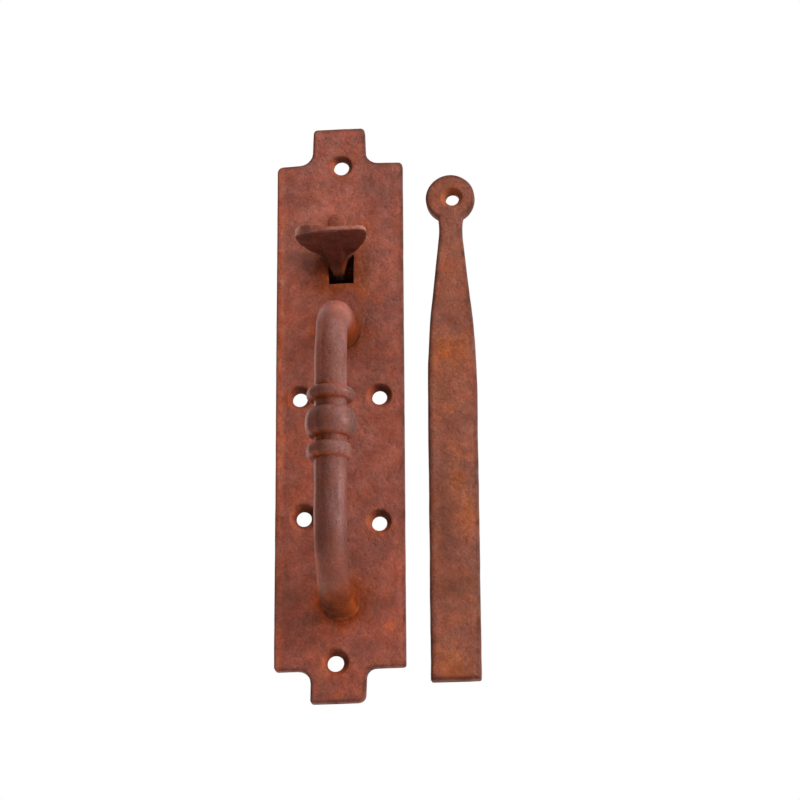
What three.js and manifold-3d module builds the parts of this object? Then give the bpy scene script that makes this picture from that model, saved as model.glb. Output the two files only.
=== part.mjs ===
// Thumb latch in forged iron, with its loose latch bar beside it.
// Millimetres, +Z up. The plate's back face lies on y = 0, the front looks along -Y,
// and the origin is at the centre of that back face.
import * as THREE from 'three';
import { mergeVertices } from 'three/addons/utils/BufferGeometryUtils.js';
import Module from 'manifold-3d';

const wasm = await Module();
wasm.setup();

// ---- driving dimensions ----
const PLATE = {
  thick: 3.5,
  halfWidth: 25.3,
  halfLength: 118.6,
  topShoulder: 103.1,
  bottomShoulder: -105.3,
  tabX: -0.3, // the tabs were cut a little left of the middle
  halfTab: 10.8,
  tabTaper: 0.5, // how much narrower each side of the upper tab is at its end
  corner: 1.6, // rounding of the outer corners
  shoulder: 4.5, // rounding of the inner ones
};
const FRONT = -PLATE.thick; // y of the plate's front face
const AXIS_X = 0.5; // the slot and the handle sit a little right of the plate's middle

// Screw holes of the plate, drilled by eye: place, bore and countersink diameters.
const SCREW_HOLES = [
  { x: 0.5, z: 102, bore: 6.2 },
  { x: -15.9, z: 3.9, bore: 6 },
  { x: 15.5, z: 3.7, bore: 6 },
  { x: -14.2, z: -45.1, bore: 6 },
  { x: 15.3, z: -47.8, bore: 6 },
  { x: -1.7, z: -103, bore: 6.4 },
];
const COUNTERSINK_RISE = 1.9; // how much wider than the bore the countersink is, in radius
const SLOT = { width: 10.2, bottom: 51.4, top: 69.6 };

const HANDLE = {
  topFoot: 31.2,
  bottomFoot: -79.3,
  standoff: 33, // grip axis from the plate's front face
  bend: 20, // radius of the two bends
  grip: 6.25, // radius of the grip
  leg: 7.1, // radius of the legs near the feet
  flange: 8, // radius of the feet
  flangeHigh: 2.2,
  flangeEdge: 0.6, // the feet's worn edges
};
// Beads of the grip: place along it, greatest radius and half height.
const BEADS = [
  { z: -6.8, radius: 9.2, half: 2.5 },
  { z: -18.2, radius: 10.1, half: 5.6 },
  { z: -29.4, radius: 8.7, half: 2.9 },
];

const PIN = { y: 6, z: 59.6, radius: 2, play: 0.2 };
const PIN_HEAD = { spread: 1, high: 1.1, edge: 0.5 };
const SADDLE = {
  halfIn: 5.7, // half the room between its cheeks
  wall: 1.6,
  low: 50,
  high: 70.6,
  deep: 12,
  flangeLow: 42,
  flangeHigh: 86,
  gapLow: 53.6, // the tail passes out through a gap in the rear wall
  gapHigh: 67.4,
  gapSide: 0.6,
};
const RIVET = {
  shank: 1.7,
  head: 3, // radius of the rear heads
  rearHigh: 1.2,
  frontHead: 3.7,
  frontHigh: 1,
  topX: -1.1,
  topZ: 77.7,
  bottomZ: 45.2,
  sink: 1.4, // the lower rivet is countersunk this deep
  play: 0.1,
};
const FOOT_SCREW = {
  shank: 2.4,
  head: 4.4,
  headDeep: 2,
  length: 14,
  play: 0.15,
  slotDeep: 1.1,
  slotHalf: 0.6,
};
const LIFT = {
  reach: 31, // front edge of the thumb press from the plate's front face
  leftPress: 14.6, // reach of its left wing, forged a little broader than the right one
  rightPress: 13.4,
  halfRoot: 4.65, // half width where the press runs into the slot
  leftRoot: 8, // and of its left shoulder, which stops just short of the plate
  shoulderGap: 1, // by this much
  neck: 2, // straight stretch before the right wing widens
  flare: 10, // where the right side is most hollow
  cornerBack: 6, // the front corners are rounded from this far back
  cornerIn: 4, // to this far in
  bow: 0.8, // the front edge bows forward by this much
  underRoot: 62.8,
  underFront: 60.9,
  underDip: 2.4, // how far the underside's curve is drawn down
  topDip: 3.4, // and the hollow on top
  thick: 3.2,
  keelLow: 55.2, // lowest point of the keel in the slot
  keelLeft: 3.4, // half widths of the keel's lower edge
  keelRight: 1.1,
  keelShoulder: 3, // and of its right side just under the press
  keelReach: 23, // how far under the press the keel runs out
  hub: 4.4, // radius round the pin
  hubGap: 0.4, // between the hub and each cheek of the saddle
  tailStart: 6,
  tailEnd: 68, // y of the tail's end
  tailHalf: 3,
  tailTop: 64.6, // its top where it leaves the hub
  tailLow: 55.2,
  tailTip: 58, // height of the rounded tip's middle
  tailTipHalf: 2.5,
};
const BAR = {
  x: 44.4,
  boreX: 45.2, // the hole was drilled a little right of and below the eye's middle
  boreZ: 85.8,
  eyeZ: 86.2,
  eyeRadius: 9.8,
  eyeJoin: 0.55, // angle from straight down where the eye runs into the neck
  bore: 5.8,
  neckZ: 71,
  neckRun: 4.5, // length of the hollow neck, above and below neckZ
  halfNeck: 4.5,
  flare: 0.5,
  fullZ: 20, // below here the bar has its full width
  fade: 15.5, // the taper runs into it over this height, above and below
  halfFull: 9.6,
  shrink: 1.3,
  bottom: -111.3,
  thick: 4.5,
  corner: 1,
};
const ROUND = 28; // facets of a drilled hole
const RIVET_ROUND = 20;
const PIN_ROUND = 24;
const OVER = 1; // how far a cutting shape reaches past the face it cuts

const iron = (color, roughness) => new THREE.MeshStandardMaterial({ color, roughness, metalness: 0.25 });
const plateIron = iron(0x8a4a3c, 0.8);
const handleIron = iron(0x80564a, 0.65);
const liftIron = iron(0x7c4536, 0.75);
const hiddenIron = iron(0x5b3527, 0.85);
const barIron = iron(0x8c4e3c, 0.8);

// ---- helpers ----
function toSolid(geometry) {
  const bare = geometry.clone();
  bare.deleteAttribute('normal');
  bare.deleteAttribute('uv');
  const merged = mergeVertices(bare, 1e-4);
  return new wasm.Manifold(
    new wasm.Mesh({
      numProp: 3,
      vertProperties: Float32Array.from(merged.attributes.position.array),
      triVerts: Uint32Array.from(merged.index.array),
    }),
  );
}

function toGeometry(solid) {
  const mesh = solid.getMesh();
  const geometry = new THREE.BufferGeometry();
  geometry.setAttribute('position', new THREE.BufferAttribute(mesh.vertProperties, 3));
  geometry.setIndex(new THREE.BufferAttribute(mesh.triVerts, 1));
  geometry.computeVertexNormals();
  return geometry;
}

// A flat outline drawn in x and z, made solid from y = front to y = back.
function slab(shape, front, back, curveSegments) {
  const depth = back - front;
  const geometry = new THREE.ExtrudeGeometry(shape, { depth, bevelEnabled: false, curveSegments });
  geometry.rotateX(Math.PI / 2);
  geometry.translate(0, back, 0);
  return toSolid(geometry);
}

// A side view drawn in y and z, made solid over the given half width about AXIS_X.
function sideSlab(shape, half) {
  const depth = 2 * half;
  const geometry = new THREE.ExtrudeGeometry(shape, { depth, bevelEnabled: false, curveSegments: 10 });
  geometry.translate(0, 0, -half);
  geometry.rotateY(Math.PI / 2);
  geometry.rotateX(Math.PI / 2);
  geometry.translate(AXIS_X, 0, 0);
  return toSolid(geometry);
}

// A turned shape whose axis runs along +Y: pairs of radius and y, from one end of the axis to the other.
function turned(pairs, x, z, segments) {
  const profile = pairs.map(([radius, y]) => new THREE.Vector2(radius, y));
  const geometry = new THREE.LatheGeometry(profile, segments);
  geometry.translate(x, 0, z);
  return toSolid(geometry);
}

function box(low, high) {
  const size = high.map((value, i) => value - low[i]);
  const geometry = new THREE.BoxGeometry(...size);
  geometry.translate(...low.map((value, i) => value + size[i] / 2));
  return toSolid(geometry);
}

// A closed outline through corners [a, b, radius], each rounded with its own radius.
function roundedOutline(corners) {
  const shape = new THREE.Shape();
  corners.forEach(([a, b, radius], i) => {
    const corner = new THREE.Vector2(a, b);
    const before = corners.at(i - 1);
    const after = corners[(i + 1) % corners.length];
    const start = new THREE.Vector2(before[0] - a, before[1] - b).setLength(radius).add(corner);
    const end = new THREE.Vector2(after[0] - a, after[1] - b).setLength(radius).add(corner);
    if (i === 0) {
      shape.moveTo(start.x, start.y);
    } else {
      shape.lineTo(start.x, start.y);
    }
    shape.quadraticCurveTo(a, b, end.x, end.y);
  });
  shape.closePath();
  return shape;
}

const parts = new THREE.Group();

function add(name, solid, material) {
  const mesh = new THREE.Mesh(toGeometry(solid), material);
  mesh.name = name;
  parts.add(mesh);
}

// ---- back plate: a flat forging with a narrower tab at each end ----
function screwHole({ x, z, bore }, front) {
  const radius = bore / 2;
  return turned(
    [
      [0, front - OVER],
      [radius + COUNTERSINK_RISE + OVER, front - OVER],
      [radius, front + COUNTERSINK_RISE],
      [radius, OVER],
      [0, OVER],
    ],
    x,
    z,
    ROUND,
  );
}

function backPlate() {
  const { halfWidth, halfLength, topShoulder, bottomShoulder } = PLATE;
  const { tabX, halfTab, tabTaper, corner, shoulder } = PLATE;
  const left = tabX - halfTab;
  const right = tabX + halfTab;
  const outline = roundedOutline([
    [-halfWidth, bottomShoulder, corner],
    [left, bottomShoulder, 1.5 * shoulder],
    [left, -halfLength, corner],
    [right - tabTaper, -halfLength, 2.5 * corner],
    [right, bottomShoulder, 1.5 * shoulder],
    [halfWidth, bottomShoulder, corner],
    [halfWidth, topShoulder - tabTaper, corner],
    [right, topShoulder, shoulder],
    [right - tabTaper, halfLength, corner],
    [left + tabTaper, halfLength, corner],
    [left, topShoulder, shoulder],
    [-halfWidth, topShoulder - tabTaper, 1.5 * corner],
  ]);
  let plate = slab(outline, FRONT, 0, 5);
  for (const hole of SCREW_HOLES) {
    plate = plate.subtract(screwHole(hole, FRONT));
  }
  const { width, bottom, top } = SLOT;
  const slot = box([AXIS_X - width / 2, FRONT - OVER, bottom], [AXIS_X + width / 2, OVER, top]);
  plate = plate.subtract(slot);
  for (const z of [HANDLE.topFoot, HANDLE.bottomFoot]) {
    plate = plate.subtract(footScrewShape(z, FOOT_SCREW.play));
  }
  plate = plate.subtract(topRivetShank(RIVET.play));
  return plate.subtract(bottomRivetShank(RIVET.play));
}

// ---- screws from behind that hold the handle's feet ----
function footScrewShape(z, play) {
  const { shank, head, headDeep, length } = FOOT_SCREW;
  return turned(
    [
      [0, -length - play],
      [shank + play, -length - play],
      [shank + play, -headDeep - play],
      [head + play, play],
      [0, play],
    ],
    AXIS_X,
    z,
    PIN_ROUND,
  );
}

function footScrew(z) {
  const { head, slotDeep, slotHalf } = FOOT_SCREW;
  const low = [AXIS_X - head - OVER, -slotDeep, z - slotHalf];
  const high = [AXIS_X + head + OVER, OVER, z + slotHalf];
  return footScrewShape(z, 0).subtract(box(low, high));
}

// ---- pull handle: a turned bar with three beads, bent into a bow ----
// Half of the bar, from where it enters a bend out to its foot: radius, and place from the bend.
function legPairs() {
  const { bend, standoff, grip, leg, flange, flangeHigh, flangeEdge } = HANDLE;
  const bendLength = (bend * Math.PI) / 2;
  const length = bendLength + standoff - bend;
  const bendSteps = 12;
  const pairs = [];
  for (let i = 0; i <= bendSteps; i++) {
    const share = i / bendSteps;
    pairs.push([THREE.MathUtils.lerp(grip, leg, share), bendLength * share]);
  }
  pairs.push([leg, length - flangeHigh - flangeEdge / 2]);
  pairs.push([flange - flangeEdge, length - flangeHigh]);
  pairs.push([flange, length - flangeHigh + flangeEdge]);
  pairs.push([flange, length - flangeEdge]);
  pairs.push([flange - flangeEdge, length]);
  pairs.push([0, length]);
  return pairs;
}

// Radius and place along the bar, from the lower foot to the upper one. Places inside the
// bow are z values; the bends and legs run on past them.
function barProfile() {
  const low = HANDLE.bottomFoot + HANDLE.bend;
  const high = HANDLE.topFoot - HANDLE.bend;
  const leg = legPairs();
  const lower = leg.map(([radius, past]) => [radius, low - past]).reverse();
  const upper = leg.map(([radius, past]) => [radius, high + past]);
  const beads = BEADS.toReversed().flatMap(beadPairs);
  return [...lower, ...beads, ...upper];
}

function beadPairs({ z, radius, half }) {
  const steps = 8;
  const fullness = 0.7; // below 1 the bead's sides stand steeper
  const pairs = [];
  for (let i = 0; i <= steps; i++) {
    const turn = (Math.PI * i) / steps;
    const swell = (radius - HANDLE.grip) * Math.sin(turn) ** fullness;
    pairs.push([HANDLE.grip + swell, z - half * Math.cos(turn)]);
  }
  return pairs;
}

// Bends the straight bar: its middle stays on the grip's axis, both ends turn to the plate.
function bendBar(geometry) {
  const { bend, standoff } = HANDLE;
  const quarter = (bend * Math.PI) / 2;
  const gripY = FRONT - standoff;
  const place = geometry.attributes.position;
  for (let i = 0; i < place.count; i++) {
    const x = place.getX(i);
    const along = place.getY(i);
    const out = place.getZ(i); // away from the plate
    const up = along > (HANDLE.topFoot + HANDLE.bottomFoot) / 2;
    const side = up ? 1 : -1;
    const start = up ? HANDLE.topFoot - bend : HANDLE.bottomFoot + bend;
    const past = side * (along - start);
    const turn = THREE.MathUtils.clamp(past / bend, 0, Math.PI / 2);
    const leg = Math.max(past - quarter, 0);
    const inner = Math.min(past, 0);
    const reach = bend + out;
    const y = gripY + bend - reach * Math.cos(turn) + leg;
    const z = start + side * (reach * Math.sin(turn) + inner);
    place.setXYZ(i, x + AXIS_X, y, z);
  }
  return geometry;
}

function pullHandle() {
  const profile = barProfile().map(([radius, along]) => new THREE.Vector2(radius, along));
  const bar = new THREE.LatheGeometry(profile, 32);
  let handle = toSolid(bendBar(bar));
  for (const z of [HANDLE.topFoot, HANDLE.bottomFoot]) {
    handle = handle.subtract(footScrewShape(z, FOOT_SCREW.play));
  }
  return handle;
}

// ---- pivot saddle: a pressed box behind the slot that carries the pin ----
function pivotBracket() {
  const { halfIn, wall, low, high, deep, flangeLow, flangeHigh, gapLow, gapHigh, gapSide } = SADDLE;
  const halfOut = halfIn + wall;
  const flange = box([AXIS_X - halfOut, 0, flangeLow], [AXIS_X + halfOut, wall, flangeHigh]);
  const shell = box([AXIS_X - halfOut, 0, low - wall], [AXIS_X + halfOut, deep + wall, high + wall]);
  const hollow = box([AXIS_X - halfIn, -OVER, low], [AXIS_X + halfIn, deep, high]);
  const halfGap = LIFT.tailHalf + gapSide;
  const tailGap = box(
    [AXIS_X - halfGap, deep - OVER, gapLow],
    [AXIS_X + halfGap, deep + wall + OVER, gapHigh],
  );
  return flange
    .add(shell)
    .subtract(hollow)
    .subtract(tailGap)
    .subtract(pinBore(halfOut + OVER, PIN.play / 2))
    .subtract(topRivetShank(RIVET.play))
    .subtract(bottomRivetShank(RIVET.play));
}

// ---- pin across the saddle, peened over at both ends ----
function acrossX(pairs, segments) {
  const profile = pairs.map(([radius, along]) => new THREE.Vector2(radius, along));
  const geometry = new THREE.LatheGeometry(profile, segments);
  geometry.rotateZ(-Math.PI / 2);
  geometry.translate(AXIS_X, PIN.y, PIN.z);
  return toSolid(geometry);
}

function pinBore(half, play) {
  const radius = PIN.radius + play;
  return acrossX(
    [
      [0, -half],
      [radius, -half],
      [radius, half],
      [0, half],
    ],
    PIN_ROUND,
  );
}

function pivotPin() {
  const half = SADDLE.halfIn + SADDLE.wall;
  const head = PIN.radius + PIN_HEAD.spread;
  const rightHead = [
    [PIN.radius, half],
    [head, half],
    [head, half + PIN_HEAD.edge],
    [PIN.radius, half + PIN_HEAD.high],
    [0, half + PIN_HEAD.high],
  ];
  const leftHead = rightHead.map(([radius, along]) => [radius, -along]).reverse();
  return acrossX([...leftHead, ...rightHead], PIN_ROUND);
}

// ---- rivets of the saddle ----
function rivetShank(x, z, play) {
  const radius = RIVET.shank + play;
  return turned(
    [
      [0, FRONT - OVER],
      [radius, FRONT - OVER],
      [radius, SADDLE.wall + OVER],
      [0, SADDLE.wall + OVER],
    ],
    x,
    z,
    RIVET_ROUND,
  );
}

function topRivetShank(play) {
  return rivetShank(RIVET.topX, RIVET.topZ, play);
}

// The lower rivet is countersunk and dressed flush in front.
function bottomRivetShank(play) {
  const cone = turned(
    [
      [0, FRONT - OVER],
      [RIVET.shank + RIVET.sink + OVER + play, FRONT - OVER],
      [RIVET.shank + play, FRONT + RIVET.sink],
      [0, FRONT + RIVET.sink],
    ],
    AXIS_X,
    RIVET.bottomZ,
    RIVET_ROUND,
  );
  return rivetShank(AXIS_X, RIVET.bottomZ, play).add(cone);
}

// A hammered head from its rim out to its crown.
function domePairs(radius, from, crown) {
  const rise = crown - from;
  return [
    [radius, from],
    [radius * 0.92, from + rise * 0.45],
    [radius * 0.6, from + rise * 0.85],
    [0, crown],
  ];
}

function bracketRivetTop() {
  const back = SADDLE.wall;
  const front = domePairs(RIVET.frontHead, FRONT, FRONT - RIVET.frontHigh).reverse();
  const shank = [
    [RIVET.shank, FRONT],
    [RIVET.shank, back],
  ];
  const rear = domePairs(RIVET.head, back, back + RIVET.rearHigh);
  return turned([...front, ...shank, ...rear], RIVET.topX, RIVET.topZ, RIVET_ROUND);
}

function bracketRivetBottom() {
  const back = SADDLE.wall;
  const front = [
    [0, FRONT],
    [RIVET.shank + RIVET.sink, FRONT],
    [RIVET.shank, FRONT + RIVET.sink],
    [RIVET.shank, back],
  ];
  const rear = domePairs(RIVET.head - 0.3, back, back + RIVET.rearHigh);
  return turned([...front, ...rear], AXIS_X, RIVET.bottomZ, RIVET_ROUND);
}

// ---- thumb lift: press, keel and tail in one forging ----
// The press from above, in x and y: a stem that flares to a broad, gently bowed front edge.
function pressPlan(front) {
  const { leftPress, rightPress, halfRoot, leftRoot, shoulderGap } = LIFT;
  const { neck, flare, cornerBack, cornerIn, bow } = LIFT;
  const bulge = 0.4; // the corners stand a little proud of the sides
  const edge = front + bulge / 2;
  const shoulder = FRONT - shoulderGap;
  const plan = new THREE.Shape();
  plan.moveTo(-halfRoot, PIN.y);
  plan.lineTo(-halfRoot, shoulder);
  plan.lineTo(-leftRoot, shoulder);
  plan.quadraticCurveTo(-leftRoot - 1, shoulder - flare, -leftPress, front + cornerBack);
  plan.quadraticCurveTo(-leftPress - bulge, front + bulge, -leftPress + cornerIn, edge);
  plan.quadraticCurveTo(0, front - bow, rightPress - cornerIn, edge);
  plan.quadraticCurveTo(rightPress + bulge, front + bulge, rightPress, front + cornerBack);
  plan.quadraticCurveTo(halfRoot + 1, FRONT - flare, halfRoot, FRONT - neck);
  plan.lineTo(halfRoot, PIN.y);
  plan.closePath();
  return plan;
}

// The press from the side, in y and z: hollowed on top for the thumb.
function pressSide(front) {
  const { underRoot, underFront, underDip, topDip, thick } = LIFT;
  const middle = (FRONT + front) / 2;
  const top = underRoot + thick;
  const side = new THREE.Shape();
  side.moveTo(PIN.y, underRoot);
  side.lineTo(FRONT, underRoot);
  side.quadraticCurveTo(middle, underRoot - underDip, front - OVER, underFront);
  side.lineTo(front - OVER, underFront + thick);
  side.quadraticCurveTo(middle, top - topDip, FRONT, top);
  side.lineTo(PIN.y, top);
  side.closePath();
  return side;
}

function liftPress() {
  const front = FRONT - LIFT.reach;
  const low = LIFT.keelLow;
  const depth = 2 * (LIFT.underRoot - low); // enough to pass through the side view
  const options = { depth, bevelEnabled: false, curveSegments: 8 };
  const fan = new THREE.ExtrudeGeometry(pressPlan(front), options);
  fan.translate(AXIS_X, 0, low);
  return toSolid(fan).intersect(sideSlab(pressSide(front), LIFT.leftPress + OVER));
}

// The keel's section, in x and z: as wide as the stem above, narrow below, most so on its right.
function keelSection() {
  const { halfRoot, keelLeft, keelRight, keelShoulder, keelLow, underRoot, thick } = LIFT;
  const section = new THREE.Shape();
  section.moveTo(-keelLeft, keelLow);
  section.lineTo(keelRight, keelLow);
  section.lineTo(keelShoulder, underRoot - 1);
  section.lineTo(halfRoot, underRoot + 1);
  section.lineTo(halfRoot, underRoot + thick);
  section.lineTo(-halfRoot, underRoot + thick);
  section.lineTo(-halfRoot, underRoot);
  section.closePath();
  return section;
}

// The keel from the side, in y and z: deepest in the slot, swept up under the press.
function keelSide() {
  const { keelLow, keelReach, underRoot, underFront, thick, hub } = LIFT;
  const rise = 1.2; // its lower edge climbs towards the tail
  const slope = 0.8;
  const side = new THREE.Shape();
  side.moveTo(PIN.y + hub, keelLow + rise);
  side.lineTo(1, keelLow);
  side.lineTo(FRONT, keelLow);
  side.quadraticCurveTo(FRONT - 7, keelLow + 4.6, FRONT - keelReach, underFront + slope);
  side.lineTo(FRONT, underRoot + 1);
  side.lineTo(1, underRoot + thick);
  side.lineTo(PIN.y + hub / 2, underRoot + thick - slope);
  side.closePath();
  return side;
}

function liftKeel() {
  const rear = PIN.y + LIFT.hub + OVER;
  const depth = rear - FRONT + LIFT.reach;
  const wedge = new THREE.ExtrudeGeometry(keelSection(), { depth, bevelEnabled: false });
  wedge.rotateX(Math.PI / 2);
  wedge.translate(AXIS_X, rear, 0);
  return toSolid(wedge).intersect(sideSlab(keelSide(), LIFT.halfRoot + OVER));
}

// The tail droops a little towards its rounded tip.
function liftTail() {
  const { tailStart, tailEnd, tailHalf, tailTop, tailLow, tailTip, tailTipHalf } = LIFT;
  const middle = (tailStart + tailEnd) / 2;
  const nose = 3; // length of the rounded tip
  const top = tailTip + tailTipHalf;
  const low = tailTip - tailTipHalf;
  const side = new THREE.Shape();
  side.moveTo(tailStart, tailLow);
  side.lineTo(tailStart + 8, tailLow);
  side.quadraticCurveTo(middle, tailLow - 2.6, tailEnd - nose, low);
  side.quadraticCurveTo(tailEnd, low, tailEnd, tailTip);
  side.quadraticCurveTo(tailEnd, top, tailEnd - nose, top);
  side.quadraticCurveTo(middle, top - 1, tailStart + 9, tailTop - 1);
  side.quadraticCurveTo(tailStart + 5, tailTop, tailStart, tailTop);
  side.closePath();
  return sideSlab(side, tailHalf);
}

function liftHub() {
  const half = SADDLE.halfIn - LIFT.hubGap;
  return acrossX(
    [
      [0, -half],
      [LIFT.hub, -half],
      [LIFT.hub, half],
      [0, half],
    ],
    32,
  );
}

function thumbLift() {
  return liftPress()
    .add(liftKeel())
    .add(liftHub())
    .add(liftTail())
    .subtract(pinBore(SADDLE.halfIn + OVER, PIN.play));
}

// ---- latch bar: a flat bar with an eye, widening from its neck ----
function latchBar() {
  const { x, boreX, boreZ, eyeZ, eyeRadius, eyeJoin, bore, bottom, corner, thick } = BAR;
  const { neckZ, neckRun, halfNeck, flare, fullZ, fade, halfFull, shrink } = BAR;
  const joinX = eyeRadius * Math.sin(eyeJoin);
  const joinZ = eyeZ - eyeRadius * Math.cos(eyeJoin);
  const halfTaper = halfFull - shrink;
  const outline = new THREE.Shape();
  outline.moveTo(x - halfFull + corner, bottom);
  outline.lineTo(x + halfFull - corner, bottom);
  outline.quadraticCurveTo(x + halfFull, bottom, x + halfFull, bottom + corner);
  outline.lineTo(x + halfFull, fullZ - fade);
  outline.quadraticCurveTo(x + halfFull, fullZ, x + halfTaper, fullZ + fade);
  outline.lineTo(x + halfNeck + flare, neckZ - neckRun);
  outline.quadraticCurveTo(x + halfNeck - flare, neckZ + neckRun, x + joinX, joinZ);
  outline.absarc(x, eyeZ, eyeRadius, eyeJoin - Math.PI / 2, 1.5 * Math.PI - eyeJoin, false);
  outline.quadraticCurveTo(x - halfNeck + flare, neckZ + neckRun, x - halfNeck - flare, neckZ - neckRun);
  outline.lineTo(x - halfTaper, fullZ + fade);
  outline.quadraticCurveTo(x - halfFull, fullZ, x - halfFull, fullZ - fade);
  outline.lineTo(x - halfFull, bottom + corner);
  outline.quadraticCurveTo(x - halfFull, bottom, x - halfFull + corner, bottom);
  const blank = slab(outline, -thick, 0, 16);
  return blank.subtract(screwHole({ x: boreX, z: boreZ, bore }, -thick));
}

add('back_plate', backPlate(), plateIron);
add('pull_handle', pullHandle(), handleIron);
add('handle_screw_top', footScrew(HANDLE.topFoot), hiddenIron);
add('handle_screw_bottom', footScrew(HANDLE.bottomFoot), hiddenIron);
add('thumb_lift', thumbLift(), liftIron);
add('pivot_pin', pivotPin(), hiddenIron);
add('pivot_bracket', pivotBracket(), hiddenIron);
add('bracket_rivet_top', bracketRivetTop(), plateIron);
add('bracket_rivet_bottom', bracketRivetBottom(), plateIron);
add('latch_bar', latchBar(), barIron);

export default parts;
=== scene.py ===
import math

import bmesh
import bpy
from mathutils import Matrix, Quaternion, Vector, noise


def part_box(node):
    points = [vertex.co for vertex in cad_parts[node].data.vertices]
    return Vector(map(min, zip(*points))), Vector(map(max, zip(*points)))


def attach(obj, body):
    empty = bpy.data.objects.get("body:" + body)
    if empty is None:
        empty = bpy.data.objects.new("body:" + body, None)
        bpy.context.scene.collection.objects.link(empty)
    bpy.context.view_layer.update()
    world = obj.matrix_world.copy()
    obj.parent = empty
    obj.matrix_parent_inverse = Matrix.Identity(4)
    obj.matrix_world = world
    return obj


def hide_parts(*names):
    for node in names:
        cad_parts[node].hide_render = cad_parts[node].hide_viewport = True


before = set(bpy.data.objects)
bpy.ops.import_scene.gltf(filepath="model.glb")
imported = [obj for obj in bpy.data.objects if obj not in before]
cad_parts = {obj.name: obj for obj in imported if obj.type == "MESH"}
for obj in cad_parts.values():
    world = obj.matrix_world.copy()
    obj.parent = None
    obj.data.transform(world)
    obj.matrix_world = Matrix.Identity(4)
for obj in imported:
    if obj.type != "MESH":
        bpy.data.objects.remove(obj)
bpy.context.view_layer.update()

# A thumb latch in rusted wrought iron with its loose latch bar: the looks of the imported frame.
# Sizes are in millimetres and become metres when a piece is finished.
mm = 0.001
noise.seed_set(5)  # the dents come out the same on every run
across = Vector((1, 0, 0))
inward = Vector((0, 1, 0))
upward = Vector((0, 0, 1))


def boxInMm(node):
    low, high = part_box(node)
    return low / mm, high / mm


def limited(value, low=0, high=1):
    return min(max(value, low), high)


# Camera, light and floor

cameraView = dict(azimuth=5.454, elevation=-18.776, roll=-0.387, distance=1150, lens=131.7,
                  target=(23.47, 0, 2.75))
lamps = [dict(name="keyLamp", direction=(0.55, -0.85, 0.95), distance=1200, size=900, power=8.5,
              mirrored=True),
         dict(name="sideLamp", direction=(1, -0.3, 0.12), distance=1200, size=450, power=9,
              mirrored=True),
         dict(name="rimLamp", direction=(-0.65, 0.7, 0.15), distance=900, size=400, power=12,
              mirrored=False)]
studio = dict(wallDirection=(0.4, 0.5, 0.77), wallFrom=-0.2, wallTo=0.35, wallLight=1.0, roomLight=0.14,
              floorDrop=450, floorSize=4000, floorColor="#e9e7e4", floorRoughness=0.8)


def addCamera(values):
    azimuth = math.radians(values["azimuth"])
    elevation = math.radians(values["elevation"])
    flat = math.cos(elevation)
    look = Vector((-math.sin(azimuth) * flat, math.cos(azimuth) * flat, -math.sin(elevation)))
    camera = bpy.data.objects.new("camera", bpy.data.cameras.new("camera"))
    camera.data.lens = values["lens"]
    camera.location = (Vector(values["target"]) - look * values["distance"]) * mm
    roll = Quaternion((0, 0, 1), math.radians(values["roll"]))
    camera.rotation_mode = "QUATERNION"
    camera.rotation_quaternion = look.to_track_quat("-Z", "Y") @ roll
    bpy.context.scene.collection.objects.link(camera)
    bpy.context.scene.camera = camera


def addLamp(values):
    lamp = bpy.data.objects.new(values["name"], bpy.data.lights.new(values["name"], "AREA"))
    lamp.data.energy = values["power"]
    lamp.data.size = values["size"] * mm
    toLamp = Vector(values["direction"]).normalized()
    lamp.location = toLamp * values["distance"] * mm
    lamp.rotation_euler = toLamp.to_track_quat("Z", "Y").to_euler()
    lamp.visible_glossy = values["mirrored"]
    bpy.context.scene.collection.objects.link(lamp)


def toLinear(hexColor):
    channels = [int(hexColor[i:i + 2], 16) / 255 for i in (1, 3, 5)]
    return [c / 12.92 if c <= 0.04045 else ((c + 0.055) / 1.055) ** 2.4 for c in channels] + [1]


def addNode(tree, kind, inputs=None, **settings):
    node = tree.nodes.new(kind)
    for key, value in settings.items():
        setattr(node, key, value)
    for key, value in (inputs or {}).items():
        if isinstance(value, bpy.types.NodeSocket):
            tree.links.new(value, node.inputs[key])
        else:
            node.inputs[key].default_value = value
    return node


def addWorld(values):
    # white walls behind and to the right, a dim room in front; the camera sees white all round
    world = bpy.data.worlds.new("whiteStudio")
    world.use_nodes = True
    tree = world.node_tree
    tree.nodes.clear()
    direction = addNode(tree, "ShaderNodeTexCoord").outputs["Generated"]
    facing = addNode(tree, "ShaderNodeVectorMath", {0: direction, 1: values["wallDirection"]},
                     operation="DOT_PRODUCT").outputs["Value"]
    wall = addNode(tree, "ShaderNodeMapRange", {"Value": facing, "From Min": values["wallFrom"],
                                                "From Max": values["wallTo"]},
                   interpolation_type="SMOOTHSTEP").outputs["Result"]
    ray = addNode(tree, "ShaderNodeLightPath")
    mirrored = addNode(tree, "ShaderNodeMath", {0: ray.outputs["Is Glossy Ray"],
                                                1: ray.outputs["Is Transmission Ray"]}, operation="MAXIMUM")
    seenWall = addNode(tree, "ShaderNodeMath", {0: mirrored.outputs[0], 1: wall}, operation="MULTIPLY")
    shown = addNode(tree, "ShaderNodeMath", {0: ray.outputs["Is Camera Ray"], 1: seenWall.outputs[0]},
                    operation="MAXIMUM")
    light = addNode(tree, "ShaderNodeMapRange", {"Value": wall, "To Min": values["roomLight"],
                                                 "To Max": values["wallLight"]})
    room = addNode(tree, "ShaderNodeBackground", {"Color": (1, 1, 1, 1), "Strength": light.outputs[0]})
    white = addNode(tree, "ShaderNodeBackground", {"Color": (1, 1, 1, 1), "Strength": 1})
    mixed = addNode(tree, "ShaderNodeMixShader", {0: shown.outputs[0], 1: room.outputs[0],
                                                  2: white.outputs[0]})
    addNode(tree, "ShaderNodeOutputWorld", {"Surface": mixed.outputs[0]})
    bpy.context.scene.world = world


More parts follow.
